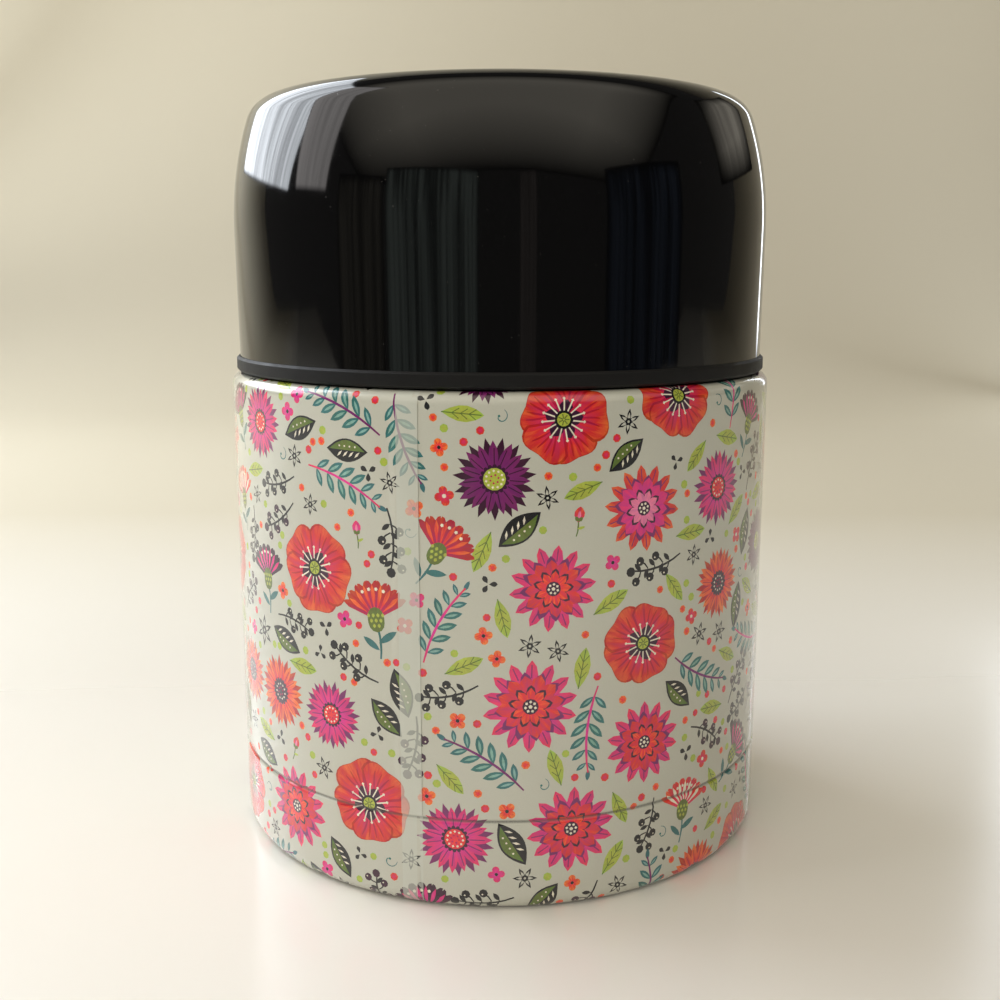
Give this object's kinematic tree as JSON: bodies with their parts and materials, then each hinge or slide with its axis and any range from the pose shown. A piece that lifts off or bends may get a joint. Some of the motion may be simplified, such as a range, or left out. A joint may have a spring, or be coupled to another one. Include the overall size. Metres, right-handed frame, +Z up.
{
  "type": "insulated food jar",
  "caption": "Wide-mouth vacuum food jar: steel body under a printed film, screw stopper with a vent button, and a domed screw-on lid that serves as a bowl.",
  "frame": {"origin": "centre of the foot ring, on the surface that the jar stands on", "axes": "+Z up through the mouth and the lid, -Y is the front, +X is to the right of someone who faces the front"},
  "size_m": [0.1, 0.1, 0.1345],
  "materials": {
    "shell_steel": "fine satin, bare only at the shoulder, neck and foot",
    "liner_steel": "satin, brighter at the rolled lip",
    "solder": "dull grey bead",
    "printed_film": "glossy shrink film, pale sage ground with an all-over flower print in coral, pink, plum, teal, lime and black",
    "lid_gloss": "high-gloss black",
    "rim_plastic": "fine matte charcoal",
    "bowl_plastic": "satin black",
    "foam": "closed-cell white foam",
    "stopper_plastic": "satin black",
    "cover_plastic": "fine matte charcoal",
    "button_plastic": "gloss black",
    "silicone": "translucent grey-white, matte",
    "spring_steel": "drawn wire"
  },
  "bodies": {
    "jar": {"outer_shell": "shell_steel", "base_cup": "shell_steel", "vacuum_seal": "solder", "seal_cover": "shell_steel", "inner_vessel": "liner_steel", "getter": "liner_steel", "print_film": "printed_film"},
    "lid_lifter": {"lid_foam_disc": "foam"},
    "lid_riser": {"lid_foam_ring": "foam"},
    "lid": {"lid_shell": "lid_gloss", "lid_rim": "rim_plastic", "lid_liner": "bowl_plastic"},
    "stopper_riser": {"stopper_gasket": "silicone"},
    "stopper": {"stopper_body": "stopper_plastic", "stopper_foam": "foam", "stopper_cover": "cover_plastic", "vent_spring": "spring_steel"},
    "vent": {"vent_button": "button_plastic", "vent_stem": "stopper_plastic", "vent_seal": "silicone"}
  },
  "joints": [
    {"name": "lid_lift", "type": "slide", "parent": "jar", "child": "lid_lifter", "axis": [0, 0, 1], "range_m": [0, 0.06]},
    {"name": "lid_rise", "type": "slide", "parent": "lid_lifter", "child": "lid_riser", "axis": [0, 0, 1], "range_m": [0, 0.004]},
    {"name": "lid_turn", "type": "hinge", "parent": "lid_riser", "child": "lid", "pos_m": [0, 0, 0.1], "axis": [0, 0, 1], "range_deg": [0, 360]},
    {"name": "stopper_rise", "type": "slide", "parent": "jar", "child": "stopper_riser", "axis": [0, 0, 1], "range_m": [0, 0.016]},
    {"name": "stopper_turn", "type": "hinge", "parent": "stopper_riser", "child": "stopper", "pos_m": [0, 0, 0.095], "axis": [0, 0, 1], "range_deg": [0, 480]},
    {"name": "vent_push", "type": "slide", "parent": "stopper", "child": "vent", "axis": [0, 0, -1], "range_m": [0, 0.0015], "stiffness_N_per_m": 300, "springref_m": -0.002, "deforming": ["vent_spring"]}
  ],
  "couplings": [
    {"joint": "lid_rise", "follows": "lid_turn", "m_per_rad": 0.00063661},
    {"joint": "stopper_rise", "follows": "stopper_turn", "m_per_rad": 0.0019098}
  ]
}
